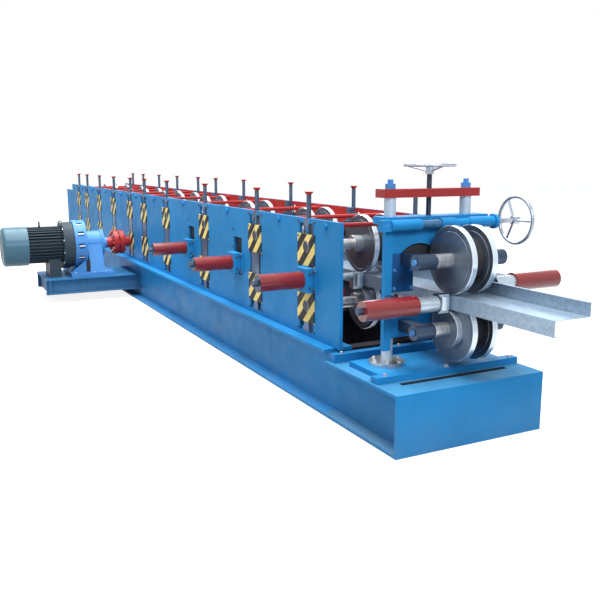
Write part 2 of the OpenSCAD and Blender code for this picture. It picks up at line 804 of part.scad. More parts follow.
// Columns with their foot flanges, shoulders and top nuts
module stand_columns() {
    foot = exit_h + carriage_t;
    foot_t = 22;
    stud_out = 50;
    color("silver") at_both_sides() {
        rod_z(stand_x, column_y, foot, foot + foot_t, foot_d);
        rod_z(stand_x, column_y, foot, beam_top - cross_t, column_d);
        rod_z(stand_x, column_y, beam_top - cross_t, beam_top + stud_out, stud_d);
        translate([stand_x, column_y, beam_top])
            cylinder(h = 0.9 * stud_d, d = 1.8 * stud_d, $fn = 6);
    }
}

module cross_beam() {
    beam_l = 640;
    beam_w = 90;
    color("firebrick") difference() {
        box([stand_x - beam_w / 2, -beam_l / 2, beam_top - cross_t], [beam_w, beam_l, cross_t]);
        at_both_sides() rod_z(stand_x, column_y, beam_top - cross_t - 1, beam_top + 1,
                              stud_d + 2 * seat);
        rod_z(stand_x, 0, beam_top - cross_t - 1, beam_top + 1, lift_d + 2 * bearing_gap);
    }
}

// Where a bearing barrel of the stand starts, on the near and far side
function bearing_y(side) = side < 0 ? near_bearing : far_bearing;

// Head plate with its legs, arched web and the arms that carry the bearings
module stand_head() {
    z0 = head_top - head_t;
    leg_bottom = 455;
    arm_w = 60;
    back = 60;
    head_tail = 100;
    bar_z = 520;
    bar_h = 140;
    color("steelblue") difference() {
        union() {
            box([stand_x - back, -leg_y - leg_w - 2, z0],
                [front_x - stand_x + back, 2 * leg_y + leg_w + head_tail, head_t]);
            at_both_sides() box([leg_x, leg_y, leg_bottom],
                                [leg_t, leg_w, z0 - leg_bottom + 1]);
            translate([leg_x, 0, 0]) rotate([90, 0, 90]) linear_extrude(height = arch_t)
                difference() {
                    translate([-leg_y - 1, 900]) square([2 * leg_y + 2, z0 - 899]);
                    translate([-90, 865]) circle(r = 170, $fn = 96);
                }
            box([leg_x, -leg_y - 1, bar_z], [arch_t, 2 * leg_y + 2, bar_h]);
            for (z = [lower_z, upper_z])
                for (y = [-217, column_y - 1])
                    box([leg_x, y, z - arm_w / 2], [roll_x - leg_x, arm_w, arm_w]);
            box([leg_x, -leg_y - leg_w + 1, near_push_z - arm_w / 2],
                [roll_x - leg_x, leg_w, arm_w]);
            box([leg_x, leg_y + 1, far_push_z - arm_w / 2],
                [roll_x - leg_x, 3.6 * leg_w, arm_w]);
        }
        for (side = [-1, 1], z = [lower_z, upper_z])
            rod_y(roll_x, z, bearing_y(side) - 1, bearing_y(side) + bearing_l + 1,
                  bearing_d + 2 * seat);
        rod_y(roll_x, near_push_z, -400, -200, tube_d + 2 * seat);
        rod_y(roll_x, far_push_z, 240, 500, tube_d + 2 * seat);
        at_both_sides() rod_z(stand_x, column_y, z0 - 1, head_top + 1, column_d + 2 * seat);
    }
}

// Bearing barrels at both ends of the stand's roll shafts
module stand_bearings() {
    cap = 7;
    bore = stand_shaft_d + 2 * bearing_gap;
    color("dimgray") for (z = [lower_z, upper_z]) {
        difference() {
            rod_y(roll_x, z, near_bearing, near_bearing + bearing_l, bearing_d);
            rod_y(roll_x, z, near_bearing + cap, near_bearing + bearing_l + 1, bore);
        }
        difference() {
            rod_y(roll_x, z, far_bearing, far_bearing + bearing_l, bearing_d);
            rod_y(roll_x, z, far_bearing - 1, far_bearing + bearing_l - cap, bore);
        }
        hex_y(roll_x, z, near_bearing - 12, near_bearing, 36);
        hex_y(roll_x, z, far_bearing + bearing_l, far_bearing + bearing_l + 12, 36);
    }
}

// Three-spoke handwheel about Z with its hub below the rim
module handwheel(drop) {
    rim = wheel_d / 2 - wheel_rim_d / 2;
    hub_r = 14;
    rotate_extrude($fn = 96) translate([rim, 0]) circle(d = wheel_rim_d, $fn = 24);
    translate([0, 0, -drop - hub_low]) cylinder(h = 44, d = 46, $fn = 48);
    for (a = [0, 120, 240]) rotate([0, 0, a])
        translate([hub_r, 0, -drop]) rotate([0, 90 - atan2(drop, rim - hub_r), 0])
        cylinder(h = norm([drop, rim - hub_r]), d = 13, $fn = 24);
}

module lifting_screw() {
    top = wheel_z - wheel_rim_d / 2 - wheel_dish - hub_low;
    color("dimgray") rod_z(stand_x, 0, head_top + seat, top, lift_d);
}

module top_handwheel() {
    color("silver") translate([stand_x, 0, wheel_z - wheel_rim_d / 2]) handwheel(wheel_dish);
}

// Stepped tube that holds the side adjusting spindle
module side_adjuster() {
    block = [44, 56, 60];
    end = 398;
    inner_d = 0.8 * adjuster_d;
    color("steelblue") difference() {
        union() {
            box([adjuster_x - adjuster_d / 2, -313 - block[1], adjuster_z - block[2] / 2], block);
            rod_y(adjuster_x, adjuster_z, -314, end - 2, inner_d);
            rod_y(adjuster_x, adjuster_z, -314, -120, adjuster_d);
            rod_y(adjuster_x, adjuster_z, 10, 110, adjuster_d);
            rod_y(adjuster_x, adjuster_z, 200, end - 2, adjuster_d);
            rod_y(adjuster_x, adjuster_z, end - 20, end, 1.4 * adjuster_d);
        }
        rod_y(adjuster_x, adjuster_z, 250, end + 1, screw_d + 2 * bearing_gap);
    }
}

module side_handwheel() {
    color("silver") union() {
        rod_y(adjuster_x, adjuster_z, 252, side_wheel_y - side_dish, screw_d);
        translate([adjuster_x, side_wheel_y, adjuster_z]) rotate([-90, 0, 0])
            handwheel(side_dish);
    }
}

// Roll of the stand, carried on both sides in the bearing barrels
module stand_roll(z, near, far) {
    sleeve_d = 78;
    clear = 5;
    color("silver") union() {
        rod_y(roll_x, z, near_bearing + 12, far_bearing + bearing_l - 12, stand_shaft_d);
        rod_y(roll_x, z, near_bearing + bearing_l + clear, far_bearing - clear, sleeve_d);
        rod_y(roll_x, z, near, far, drum_d);
        rod_y(roll_x, z, near, near + rim_w, 2 * rim_r);
        rod_y(roll_x, z, far - rim_w, far, 2 * rim_r);
    }
}

module stand_upper_roll() {
    far = roll_far - bend_gap - stand_narrow;
    stand_roll(upper_z, roll_near, far);
    color("silver") rod_y(roll_x, upper_z, far, far + rim_w, high_collar_d);
}

module stand_lower_roll() {
    near = roll_near + bend_gap;
    stand_roll(lower_z, near, roll_far - stand_narrow);
    color("silver") rod_y(roll_x, lower_z, near - rim_w, near, low_collar_d);
}

// Side roll unit of the stand: red tube, sleeve, fork and roll
module stand_unit(z, roll_y) {
    fork = roll_y + side_roll_d / 2 + 5;
    sleeve_l = 145;
    unit_l = 325;
    screw_out = 30;
    rod_y(roll_x, z, fork + sleeve_l, fork + sleeve_l + unit_l, tube_d);
    rod_y(roll_x, z, fork + fork_t - 1, fork + sleeve_l, bearing_d);
    hex_y(roll_x, z, fork + sleeve_l + unit_l, fork + sleeve_l + unit_l + screw_out, push_d - 4);
    side_fork(roll_x, z, roll_y);
    side_roll(roll_x, roll_y, z);
}

module stand_side_units() {
    shift = seat + side_roll_d / 2;
    color("firebrick") {
        mirror([0, 1, 0]) stand_unit(near_push_z, -roll_near + shift);
        stand_unit(far_push_z, roll_far + shift);
    }
}

base_beams();
cross_members();
exit_section();
side_plate(-1);  // near_side_plate
side_plate(1);  // far_side_plate
bearing_blocks();
slot_covers();
adjusting_screws();
tie_bars();
entry_guide();
forming_strip();
formed_profile();
motor_platform();
reducer();
motor();
fan_cowl();
drive_coupling();
side_brackets();
side_tubes();
side_rolls();
stand_carriage();
guide_bars();
stand_columns();
cross_beam();
stand_head();
stand_bearings();
lifting_screw();
top_handwheel();
side_adjuster();
side_handwheel();
stand_upper_roll();
stand_lower_roll();
stand_side_units();
lower_roll(0);  // lower_roll_1
lower_roll(1);  // lower_roll_2
lower_roll(2);  // lower_roll_3
lower_roll(3);  // lower_roll_4
lower_roll(4);  // lower_roll_5
lower_roll(5);  // lower_roll_6
lower_roll(6);  // lower_roll_7
lower_roll(7);  // lower_roll_8
lower_roll(8);  // lower_roll_9
lower_roll(9);  // lower_roll_10
upper_roll(0);  // upper_roll_1
upper_roll(1);  // upper_roll_2
upper_roll(2);  // upper_roll_3
upper_roll(3);  // upper_roll_4
upper_roll(4);  // upper_roll_5
upper_roll(5);  // upper_roll_6
upper_roll(6);  // upper_roll_7
upper_roll(7);  // upper_roll_8
upper_roll(8);  // upper_roll_9
upper_roll(9);  // upper_roll_10
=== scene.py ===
import json
import math

import bmesh
import bpy
from mathutils import Matrix, Vector


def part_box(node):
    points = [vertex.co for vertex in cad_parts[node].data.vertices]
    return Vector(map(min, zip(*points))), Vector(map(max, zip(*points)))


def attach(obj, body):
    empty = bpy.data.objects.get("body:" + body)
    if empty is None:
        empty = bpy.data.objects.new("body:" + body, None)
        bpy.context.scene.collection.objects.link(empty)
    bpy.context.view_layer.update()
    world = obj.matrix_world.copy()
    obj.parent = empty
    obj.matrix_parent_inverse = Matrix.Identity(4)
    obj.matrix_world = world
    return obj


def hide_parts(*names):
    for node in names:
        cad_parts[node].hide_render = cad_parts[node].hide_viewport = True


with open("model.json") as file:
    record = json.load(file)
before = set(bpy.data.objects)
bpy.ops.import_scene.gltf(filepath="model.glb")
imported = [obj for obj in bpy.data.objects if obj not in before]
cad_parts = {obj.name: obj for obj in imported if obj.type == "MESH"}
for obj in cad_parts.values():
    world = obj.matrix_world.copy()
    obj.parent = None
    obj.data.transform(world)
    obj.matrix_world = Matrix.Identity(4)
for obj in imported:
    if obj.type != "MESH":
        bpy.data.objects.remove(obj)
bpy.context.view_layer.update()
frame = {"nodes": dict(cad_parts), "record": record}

# Layout of the machine in metres, taken from the CAD nodes
baseLength = 9.8
stationDistances = [1.107, 1.887, 2.942, 3.997, 4.777, 5.352, 6.132, 6.912, 7.692, 8.267]
stationXs = [baseLength / 2 - d for d in stationDistances]
lowerZ = 0.588
upperZ = 0.9585
plateY = 0.412
driveX = stationXs[5]
standRollX = 4.7


def say(text):
    print("stage:", text, flush=True)


# Materials
def newMaterial(name):
    material = bpy.data.materials.new(name)
    material.use_nodes = True
    tree = material.node_tree
    shader = tree.nodes["Principled BSDF"]
    coordinates = tree.nodes.new("ShaderNodeTexCoord")
    return material, tree, shader, coordinates.outputs["Object"]


def mapped(tree, source, scale, rotation=(0, 0, 0)):
    mapping = tree.nodes.new("ShaderNodeMapping")
    mapping.inputs["Scale"].default_value = scale
    mapping.inputs["Rotation"].default_value = rotation
    tree.links.new(source, mapping.inputs["Vector"])
    return mapping.outputs["Vector"]


def noise(tree, source, scale, detail=4.0, roughness=0.55):
    node = tree.nodes.new("ShaderNodeTexNoise")
    node.inputs["Scale"].default_value = scale
    node.inputs["Detail"].default_value = detail
    node.inputs["Roughness"].default_value = roughness
    tree.links.new(source, node.inputs["Vector"])
    return node.outputs["Fac"]


def ramp(tree, source, stops):
    node = tree.nodes.new("ShaderNodeValToRGB")
    elements = node.color_ramp.elements
    while len(elements) < len(stops):
        elements.new(0.5)
    for element, (place, colour) in zip(elements, stops):
        element.position = place
        element.color = (*colour, 1) if len(colour) == 3 else colour
    tree.links.new(source, node.inputs["Fac"])
    return node.outputs["Color"]


def spread(tree, source, fromLow, fromHigh, toLow, toHigh):
    node = tree.nodes.new("ShaderNodeMapRange")
    node.inputs["From Min"].default_value = fromLow
    node.inputs["From Max"].default_value = fromHigh
    node.inputs["To Min"].default_value = toLow
    node.inputs["To Max"].default_value = toHigh
    tree.links.new(source, node.inputs["Value"])
    return node.outputs["Result"]


def mixColours(tree, factor, first, second, blend="MIX"):
    node = tree.nodes.new("ShaderNodeMix")
    node.data_type = "RGBA"
    node.blend_type = blend
    node.clamp_factor = True
    if isinstance(factor, (int, float)):
        node.inputs["Factor"].default_value = factor
    else:
        tree.links.new(factor, node.inputs["Factor"])
    for socket, value in (("A", first), ("B", second)):
        target = [s for s in node.inputs if s.name == socket and s.type == "RGBA"][0]
        if isinstance(value, tuple):
            target.default_value = (*value, 1)
        else:
            tree.links.new(value, target)
    return [s for s in node.outputs if s.type == "RGBA"][0]


def calculate(tree, operation, first, second=0.0):
    node = tree.nodes.new("ShaderNodeMath")
    node.operation = operation
    for index, value in enumerate((first, second)):
        if isinstance(value, (int, float)):
            node.inputs[index].default_value = value
        else:
            tree.links.new(value, node.inputs[index])
    return node.outputs["Value"]


def bump(tree, shader, height, strength, distance=0.002):
    node = tree.nodes.new("ShaderNodeBump")
    node.inputs["Strength"].default_value = strength
    node.inputs["Distance"].default_value = distance
    tree.links.new(height, node.inputs["Height"])
    tree.links.new(node.outputs["Normal"], shader.inputs["Normal"])


def separated(tree, source):
    node = tree.nodes.new("ShaderNodeSeparateXYZ")
    tree.links.new(source, node.inputs["Vector"])
    return node.outputs


# Enamel paint with slight colour drift, runs, dust near the floor and orange peel
paintLook = {"drift": 0.08, "grime": 0.20, "peel": 0.05, "roughness": 0.46, "coat": 0.0, "specular": 0.12}


def paint(name, colour, look=paintLook, **changes):
    look = {**look, **changes}
    material, tree, shader, place = newMaterial(name)
    darker = tuple(c * (1 - 2.2 * look["drift"]) for c in colour)
    lighter = tuple(min(1, c * (1 + look["drift"])) for c in colour)
    base = ramp(tree, noise(tree, place, 1.7, 5), [(0.32, darker), (0.68, lighter)])
    runs = noise(tree, mapped(tree, place, (14, 14, 1.1)), 1.0, 4)
    base = mixColours(tree, spread(tree, runs, 0.55, 0.85, 0.0, look["grime"]), base,
                      tuple(c * 0.45 for c in colour))
    height = separated(tree, place)["Z"]
    dust = calculate(tree, "MULTIPLY", spread(tree, height, 0.0, 0.30, look["grime"], 0.0),
                     noise(tree, place, 6.0, 6))
    base = mixColours(tree, dust, base, (0.33, 0.30, 0.26))
    specks = spread(tree, noise(tree, place, 160.0, 2), 0.70, 0.78, 0.0, 0.5 * look["grime"])
    base = mixColours(tree, specks, base, tuple(c * 0.35 for c in colour))
    tree.links.new(base, shader.inputs["Base Color"])
    tree.links.new(spread(tree, noise(tree, place, 9.0, 6), 0.3, 0.7,
                          look["roughness"] - 0.07, look["roughness"] + 0.12),
                   shader.inputs["Roughness"])
    shader.inputs["Coat Weight"].default_value = look["coat"]
    shader.inputs["Coat Roughness"].default_value = 0.18
    shader.inputs["Specular IOR Level"].default_value = look["specular"]
    bump(tree, shader, noise(tree, place, 140.0, 2), look["peel"])
    return material


# Bare metal with fine turning or brushing marks and faint stains
def metal(name, colour, roughness=0.3, grain=(1, 40, 1), stain=0.25, metallic=1.0, marks=0.06):
    material, tree, shader, place = newMaterial(name)
    stains = noise(tree, place, 7.0, 6)
    base = ramp(tree, stains, [(0.35, tuple(c * (1 - stain) for c in colour)), (0.65, colour)])
    tree.links.new(base, shader.inputs["Base Color"])
    shader.inputs["Metallic"].default_value = metallic
    lines = noise(tree, mapped(tree, place, grain), 12.0, 5)
    tree.links.new(spread(tree, lines, 0.3, 0.7, roughness - 0.08, roughness + 0.14),
                   shader.inputs["Roughness"])
    bump(tree, shader, lines, marks)
    return material


# Zinc-coated sheet with its crystal pattern
def galvanised(name, colour, metallic=0.55):
    material, tree, shader, place = newMaterial(name)
    crystals = tree.nodes.new("ShaderNodeTexVoronoi")
    crystals.inputs["Scale"].default_value = 75.0
    tree.links.new(place, crystals.inputs["Vector"])
    parts = separated(tree, crystals.outputs["Color"])
    tone = spread(tree, parts["X"], 0.0, 1.0, 0.0, 1.0)
    base = ramp(tree, tone, [(0.0, tuple(c * 0.78 for c in colour)), (1.0, colour)])
    cloud = noise(tree, mapped(tree, place, (0.6, 3, 3)), 3.0, 5)
    base = mixColours(tree, spread(tree, cloud, 0.35, 0.75, 0.0, 0.45), base,
                      tuple(c * 0.72 for c in colour))
    tree.links.new(base, shader.inputs["Base Color"])
    shader.inputs["Metallic"].default_value = metallic
    tree.links.new(spread(tree, parts["Y"], 0.0, 1.0, 0.30, 0.50), shader.inputs["Roughness"])
    bump(tree, shader, tone, 0.05)
    return material


# Yellow and black stripes laid over a cover by its own map
def striped(name, period, blackShare):
    material, tree, shader, place = newMaterial(name)
    uv = tree.nodes.new("ShaderNodeUVMap")
    uv.uv_map = "cover"
    parts = separated(tree, uv.outputs["UV"])
    along = calculate(tree, "SUBTRACT", parts["X"], parts["Y"])
    shifted = calculate(tree, "ADD", along, 10 * period + 0.013)
    phase = calculate(tree, "FRACT", calculate(tree, "DIVIDE", shifted, period))
    worn = noise(tree, place, 60.0, 4)
    edge = calculate(tree, "ADD", phase, spread(tree, worn, 0.0, 1.0, -0.02, 0.02))
    black = calculate(tree, "LESS_THAN", edge, blackShare)
    yellow = ramp(tree, noise(tree, place, 12.0, 5), [(0.3, (0.78, 0.58, 0.16)), (0.7, (0.90, 0.72, 0.27))])
    base = mixColours(tree, black, yellow, (0.006, 0.006, 0.007))
    scuffs = spread(tree, noise(tree, mapped(tree, place, (3, 1, 1)), 45.0, 6), 0.64, 0.74, 0.0, 0.22)
    base = mixColours(tree, scuffs, base, (0.25, 0.24, 0.22))
    tree.links.new(base, shader.inputs["Base Color"])
    shader.inputs["Roughness"].default_value = 0.5
    shader.inputs["Specular IOR Level"].default_value = 0.2
    bump(tree, shader, worn, 0.04)
    return material


materials = {
    "blue_paint": paint("blue enamel", (0.018, 0.225, 0.530)),
    "light_blue_paint": paint("light blue enamel", (0.060, 0.235, 0.560), grime=0.15, coat=0.2),
    "bearing_block": metal("slate steel", (0.13, 0.19, 0.30), 0.42, stain=0.5, metallic=0.75),
    "dark_steel": metal("dark oiled steel", (0.055, 0.085, 0.14), 0.38, metallic=0.8),
    "red_paint": paint("red enamel", (0.330, 0.022, 0.022), grime=0.30, roughness=0.28, coat=0.35),
    "galvanised": galvanised("galvanised sheet", (0.33, 0.44, 0.56)),
    "motor_paint": paint("motor grey enamel", (0.038, 0.060, 0.078), grime=0.3, roughness=0.45, coat=0.0),
    "cowl_paint": paint("grey blue enamel", (0.055, 0.140, 0.205), grime=0.3, roughness=0.36, coat=0.2),
    "bright_steel": metal("ground steel", (0.58, 0.68, 0.78), 0.28, metallic=0.65),
    "bright_chrome": metal("polished chrome", (0.42, 0.48, 0.56), 0.20, stain=0.2, metallic=0.8, marks=0.02),
    "roll_steel": metal("turned roll steel", (0.40, 0.41, 0.43), 0.30, grain=(30, 2, 30)),
    "striped_cover": striped("hazard stripes", 0.140, 0.52),
}


# Lathe-turned steel: fine rings that follow the map's radius and length
def turned(name, colour, roughness, stain, metallic=1.0, rings=900.0, depth=0.10):
    material, tree, shader, place = newMaterial(name)
    uv = tree.nodes.new("ShaderNodeUVMap")
    uv.uv_map = "turned"
    fine = noise(tree, mapped(tree, uv.outputs["UV"], (rings, rings, 1)), 1.0, 3)
    coarse = noise(tree, mapped(tree, uv.outputs["UV"], (60, 60, 1)), 1.0, 3)
    cloud = noise(tree, place, 9.0, 6)
    base = ramp(tree, cloud, [(0.34, tuple(c * (1 - stain) for c in colour)), (0.66, colour)])
    base = mixColours(tree, spread(tree, coarse, 0.4, 0.8, 0.0, 0.4), base, tuple(c * 0.6 for c in colour))
    tree.links.new(base, shader.inputs["Base Color"])
    shader.inputs["Metallic"].default_value = metallic
    tree.links.new(spread(tree, fine, 0.3, 0.7, roughness - 0.06, roughness + 0.12),
                   shader.inputs["Roughness"])
    bump(tree, shader, fine, depth, 0.001)
    return material


# Threaded bar: a fine saw-tooth ridge along one axis, on dark oiled steel, with the roots painted darker than the
# crests as painted shade in the grooves
def threaded(name, colour, axis, pitch, roughness=0.36, metallic=0.8):
    material, tree, shader, place = newMaterial(name)
    along = separated(tree, place)[axis]
    ridge = calculate(tree, "PINGPONG", along, pitch / 2)
    height = spread(tree, ridge, 0.0, pitch / 2, 0.0, 1.0)
    # roots of the thread at a third of the colour: painted shade in the grooves
    base = mixColours(tree, height, tuple(c * 0.35 for c in colour), colour)
    tree.links.new(base, shader.inputs["Base Color"])
    shader.inputs["Metallic"].default_value = metallic
    shader.inputs["Roughness"].default_value = roughness
    bump(tree, shader, height, 0.8, pitch / 3)
    return material


# Chromed column middle: a pale blue base with little metal, a painted reflection that shows bright from every side
columnPaintedReflection = metal("pale column steel with painted reflection", (0.50, 0.62, 0.74), 0.34, metallic=0.3)
screwThread = threaded("adjusting screw thread", (0.085, 0.125, 0.20), "Z", 0.004)
liftThread = threaded("lifting screw thread", (0.055, 0.075, 0.12), "Z", 0.005)
spindleThread = threaded("spindle thread", (0.020, 0.150, 0.340), "Y", 0.010, metallic=0.1)
# Roll rims: a pale base with part of the metal taken away, a painted highlight that keeps them bright from every
# side
rimPaintedHighlight = turned("roll rim with painted highlight", (0.70, 0.80, 0.90), 0.20, 0.06, 0.7)
rollFace = turned("dark roll face", (0.19, 0.235, 0.30), 0.34, 0.4, 0.8)
sleeveSteel = turned("turned sleeve", (0.58, 0.60, 0.62), 0.26, 0.25, 0.8)
drumSteel = turned("dark drum", (0.05, 0.052, 0.06), 0.5, 0.3, 0.7)
boltSteel = metal("bolt steel", (0.10, 0.12, 0.15), 0.40, metallic=0.8)
boltZinc = metal("zinc bolt", (0.55, 0.57, 0.58), 0.32)
# Shaft ends near black
shaftEnd = metal("near black shaft end", (0.035, 0.042, 0.055), 0.45, metallic=0.6)
# Near-black paint used only as painted shade: in slots and windows, behind the fan grille, inside the frame and at
# the top of the stand's arch
paintedShadeBlack = paint("painted shade black", (0.030, 0.032, 0.038), grime=0.4, roughness=0.6, coat=0.0)
navyPaint = paint("navy enamel", (0.012, 0.075, 0.23), grime=0.3)
redInside = paint("red inner face", (0.44, 0.028, 0.022), grime=0.4)
dustyPaint = paint("dusty blue enamel", (0.050, 0.235, 0.450), grime=0.35, roughness=0.6, coat=0.0)
tubePaint = paint("tube red enamel", (0.190, 0.013, 0.016), grime=0.25, roughness=0.22, coat=1.0)
# Platform blue, darker than the frame's blue as painted shade over the whole platform, with extra grime for its
# dust
shadedPlatformPaint = paint("platform blue enamel with painted shade", (0.020, 0.150, 0.340), grime=0.35)
say("materials")

for node, item in frame["nodes"].items():
    slotName = [s["material_slot"] for s in frame["record"]["subparts"] if s["node"] == node][0]
    item.data.materials.clear()
    item.data.materials.append(materials[slotName])
    for polygon in item.data.polygons:
        polygon.use_smooth = False
say("node materials")


# Shared mesh helpers
def finishMesh(mesh, name, body, slotMaterials, smooth=True):
    bmesh.ops.remove_doubles(mesh, verts=mesh.verts, dist=0.00001)
    bmesh.ops.recalc_face_normals(mesh, faces=mesh.faces)
    data = bpy.data.meshes.new(name)
    mesh.to_mesh(data)
    mesh.free()
    for material in slotMaterials:
        data.materials.append(material)
    if smooth:
        data.polygons.foreach_set("use_smooth", [True] * len(data.polygons))
        data.set_sharp_from_angle(angle=math.radians(35))
    item = bpy.data.objects.new(name, data)
    bpy.context.collection.objects.link(item)
    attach(item, body)
    return item


def boxInto(mesh, low, high, material=0, bevel=0.0):
    made = bmesh.ops.create_cube(mesh, size=1)["verts"]
    size = [h - l for l, h in zip(low, high)]
    middle = [(l + h) / 2 for l, h in zip(low, high)]
    bmesh.ops.scale(mesh, vec=size, verts=made)
    bmesh.ops.translate(mesh, vec=middle, verts=made)
    faces = {f for v in made for f in v.link_faces}
    for face in faces:
        face.material_index = material
    if bevel:
        edges = list({e for v in made for e in v.link_edges})
        bmesh.ops.bevel(mesh, geom=edges, offset=bevel, segments=2, affect="EDGES", profile=0.5,
                        material=-1)


def coneInto(mesh, centre, direction, r1, r2, depth, segments=24, material=0):
    turn = Vector((0, 0, 1)).rotation_difference(Vector(direction)).to_matrix().to_4x4()
    matrix = Matrix.Translation(Vector(centre) + Vector(direction).normalized() * depth / 2) @ turn
    made = bmesh.ops.create_cone(mesh, cap_ends=True, segments=segments, radius1=r1, radius2=r2,
                                 depth=depth, matrix=matrix)
    for face in {f for v in made["verts"] for f in v.link_faces}:
        face.material_index = material
    return made["verts"]


# Hexagon head on a washer, with a turned crown
def boltInto(mesh, seat, direction, size, material=0, washer=True):
    way = Vector(direction).normalized()
    base = Vector(seat)
    if washer:
        coneInto(mesh, base, way, size * 1.15, size * 1.1, size * 0.18, 20, material)
        base = base + way * size * 0.18
    coneInto(mesh, base, way, size * 0.96, size * 0.96, size * 0.62, 6, material)
    coneInto(mesh, base + way * size * 0.60, way, size * 0.80, size * 0.66, size * 0.12, 20, material)


# Surface turned about an axis along Y through (x, z); each row is (y, radius, material)
def turnedPiece(name, body, x, z, rows, slotMaterials, segments=96):
    mesh = bmesh.new()
    points = [mesh.verts.new((x, y, z + radius)) for y, radius, index in rows]
    edges = [mesh.edges.new((a, b)) for a, b in zip(points, points[1:])]
    bmesh.ops.spin(mesh, geom=points + edges, cent=(x, 0, z), axis=(0, 1, 0), angle=2 * math.pi,
                   steps=segments, use_merge=True)
    bmesh.ops.remove_doubles(mesh, verts=mesh.verts, dist=0.00001)
    spans = [(min(a[0], b[0]), max(a[0], b[0]), min(a[1], b[1]), max(a[1], b[1]), b[2])
             for a, b in zip(rows, rows[1:])]
    layer = mesh.loops.layers.uv.new("turned")
    for face in mesh.faces:
        middleY = sum(v.co.y for v in face.verts) / len(face.verts)
        radii = [math.hypot(v.co.x - x, v.co.z - z) for v in face.verts]
        radius = sum(radii) / len(radii)
        for y0, y1, r0, r1, index in spans:
            if y0 - 1e-5 <= middleY <= y1 + 1e-5 and r0 - 1e-5 <= radius <= r1 + 1e-5:
                face.material_index = index
                break
        for loop in face.loops:
            co = loop.vert.co
            loop[layer].uv = (math.hypot(co.x - x, co.z - z), co.y)
    return finishMesh(mesh, name, body, slotMaterials)


# Camera, light and floor; each light is place, aim, size, power and colour
studioLook = {"lens": 44.34, "cameraPlace": (7.789, -2.503, 1.475), "cameraTurn": (79.34, 0, 62.869),
              "sky": (0.84, 0.93, 1.0), "skyStrength": 0.46, "floor": (0.34, 0.34, 0.34), "floorGlow": 0.86,
              "floorSize": 40}
studioLights = {
    "overhead": ((0.5, -0.8, 6.5), (0.5, 0, 0.6), (11, 3.5), 1300, (1, 0.99, 0.97)),
    "key": ((4.5, -7.5, 6.0), (0.8, 0, 0.6), (4, 3), 120, (1, 0.98, 0.95)),
    "far fill": ((-3, 7, 6), (0, 0, 0.8), (6, 3), 220, (0.9, 0.95, 1)),
    "end": ((9.5, -0.5, 4), (4.5, 0, 0.7), (3, 2), 230, (1, 1, 1)),
}


def aimed(item, target):
    direction = Vector(target) - item.location
    item.rotation_euler = direction.to_track_quat("-Z", "Y").to_euler()


def areaLight(name, location, target, size, energy, colour):
    data = bpy.data.lights.new(name, "AREA")
    data.shape = "RECTANGLE"
    data.size, data.size_y = size
    data.energy = energy
    data.color = colour
    item = bpy.data.objects.new(name, data)
    bpy.context.collection.objects.link(item)
    item.location = location
    aimed(item, target)


# One for rays that show the white background: from the camera, off metal or through glass
def seesBackground(tree):
    path = tree.nodes.new("ShaderNodeLightPath").outputs
    either = calculate(tree, "MAXIMUM", path["Is Camera Ray"], path["Is Glossy Ray"])
    return calculate(tree, "MAXIMUM", either, path["Is Transmission Ray"])


def buildStudio():
    cameraData = bpy.data.cameras.new("camera")
    cameraData.sensor_width = 36
    cameraData.lens = studioLook["lens"]
    cameraData.clip_end = 100
    camera = bpy.data.objects.new("camera", cameraData)
    bpy.context.collection.objects.link(camera)
    camera.location = studioLook["cameraPlace"]
    camera.rotation_euler = [math.radians(angle) for angle in studioLook["cameraTurn"]]
    bpy.context.scene.camera = camera

    bpy.context.scene.view_settings.view_transform = "Standard"

    world = bpy.data.worlds.new("studio")
    bpy.context.scene.world = world
    world.use_nodes = True
    tree = world.node_tree
    sky = tree.nodes["Background"]
    sky.inputs["Color"].default_value = (*studioLook["sky"], 1)
    sky.inputs["Strength"].default_value = studioLook["skyStrength"]
    white = tree.nodes.new("ShaderNodeBackground")
    white.inputs["Color"].default_value = (1, 1, 1, 1)
    white.inputs["Strength"].default_value = 1.0
    pick = tree.nodes.new("ShaderNodeMixShader")
    tree.links.new(seesBackground(tree), pick.inputs["Fac"])
    tree.links.new(sky.outputs["Background"], pick.inputs[1])
    tree.links.new(white.outputs["Background"], pick.inputs[2])
    tree.links.new(pick.outputs["Shader"], tree.nodes["World Output"].inputs["Surface"])

    for name, values in studioLights.items():
        areaLight(name, *values)

    mesh = bpy.data.meshes.new("floor")
    plane = bmesh.new()
    bmesh.ops.create_grid(plane, x_segments=1, y_segments=1, size=studioLook["floorSize"])
    plane.to_mesh(mesh)
    plane.free()
    floor = bpy.data.objects.new("floor", mesh)
    bpy.context.collection.objects.link(floor)
    material = bpy.data.materials.new("floor white")
    material.use_nodes = True
    shader = material.node_tree.nodes["Principled BSDF"]
    shader.inputs["Base Color"].default_value = (*studioLook["floor"], 1)
    shader.inputs["Roughness"].default_value = 1.0
    shader.inputs["Specular IOR Level"].default_value = 0.0
    glow = calculate(material.node_tree, "MULTIPLY", seesBackground(material.node_tree),
                     studioLook["floorGlow"])
    material.node_tree.links.new(glow, shader.inputs["Emission Strength"])
    shader.inputs["Emission Color"].default_value = (1, 1, 1, 1)
    mesh.materials.append(material)


buildStudio()
say("studio")


# Rolls turned again with chamfers and relief grooves
rollLook = {"chamfer": 0.0022, "groove": 0.0016, "segments": 96, "farSegments": 64, "nearStations": 4,
            "shaft": 0.035, "shaftEnd": 0.417, "sleeve": 0.056, "sleeveOut": 0.060}
standRollLook = {"narrow": 0.030, "shaft": 0.030, "shaftLow": -0.242, "shaftHigh": 0.318,
                 "sleeve": 0.039, "sleeveLow": -0.131, "sleeveHigh": 0.207, "segments": 128}
rimRadius = 0.1837
rimWidth = 0.034
drumRadius = 0.118


